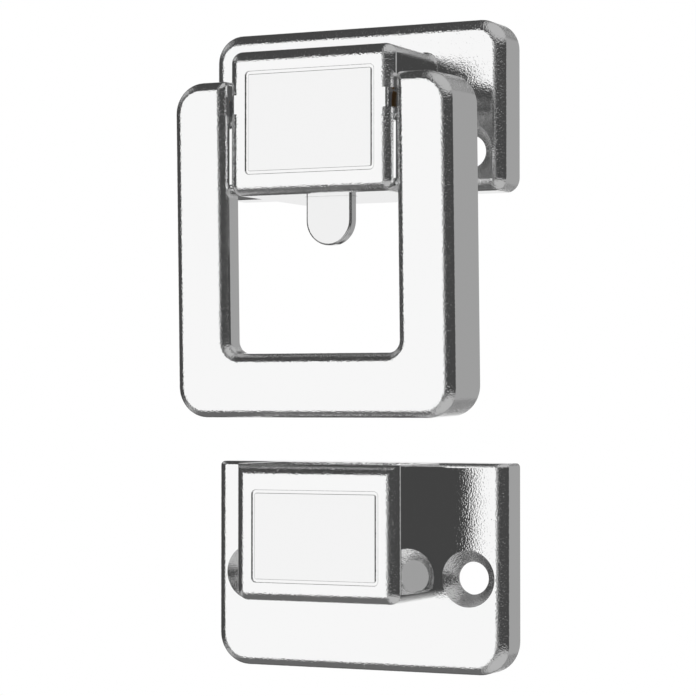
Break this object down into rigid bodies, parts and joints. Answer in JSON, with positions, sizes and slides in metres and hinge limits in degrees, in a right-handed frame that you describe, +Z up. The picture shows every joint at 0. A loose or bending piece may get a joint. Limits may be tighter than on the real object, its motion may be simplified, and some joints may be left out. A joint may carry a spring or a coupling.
{
  "type": "toggle bolt latch",
  "caption": "Surface latch with a ring handle that hangs round its housing and lifts a spring bolt, and a separate pocket keeper.",
  "frame": {"origin": "midway between the latch's two screw holes, on its back face", "axes": "+Z up the door, towards the latch's top edge; -Y out of the door, towards the user; +X to the right seen from the front"},
  "size_m": [0.0636, 0.0293, 0.1275],
  "materials": {
    "chrome_casting": "bright chrome plate over a die casting",
    "chrome_bolt": "bright chrome plate",
    "blank_label": "satin, blank",
    "zinc_plated_steel": "zinc plated",
    "bright_steel": "ground",
    "spring_steel": "drawn wire",
    "bronze_bush": "sintered bronze"
  },
  "bodies": {
    "latch": {"latch_housing": "chrome_casting", "latch_label_plate": "blank_label", "back_cover": "zinc_plated_steel", "cover_screws": "zinc_plated_steel", "pivot_bush_left": "bronze_bush", "pivot_bush_right": "bronze_bush", "spring_guide_rod": "bright_steel", "bolt_spring": "spring_steel", "keeper_housing": "chrome_casting", "keeper_label_plate": "blank_label"},
    "handle": {"pull_handle": "chrome_casting", "stub_shaft_left": "bright_steel", "stub_shaft_right": "bright_steel", "shaft_lock_pins": "spring_steel", "crank_web_left": "zinc_plated_steel", "crank_web_right": "zinc_plated_steel", "retaining_clips": "spring_steel", "crank_pin": "bright_steel", "crank_roller": "bright_steel"},
    "bolt": {"slide_bolt": "chrome_bolt"}
  },
  "joints": [
    {"name": "handle_lift", "type": "hinge", "parent": "latch", "child": "handle", "pos_m": [0, -0.017, 0.0088], "axis": [-1, 0, 0], "range_deg": [0, 90]},
    {"name": "bolt_slide", "type": "slide", "parent": "latch", "child": "bolt", "axis": [0, 0, 1], "range_m": [0, 0.008], "stiffness_N_per_m": 616, "springref_m": -0.0023, "deforming": ["bolt_spring"]}
  ],
  "couplings": [
    {"joint": "bolt_slide", "follows": "handle_lift", "m_per_rad": 0.0050929}
  ]
}
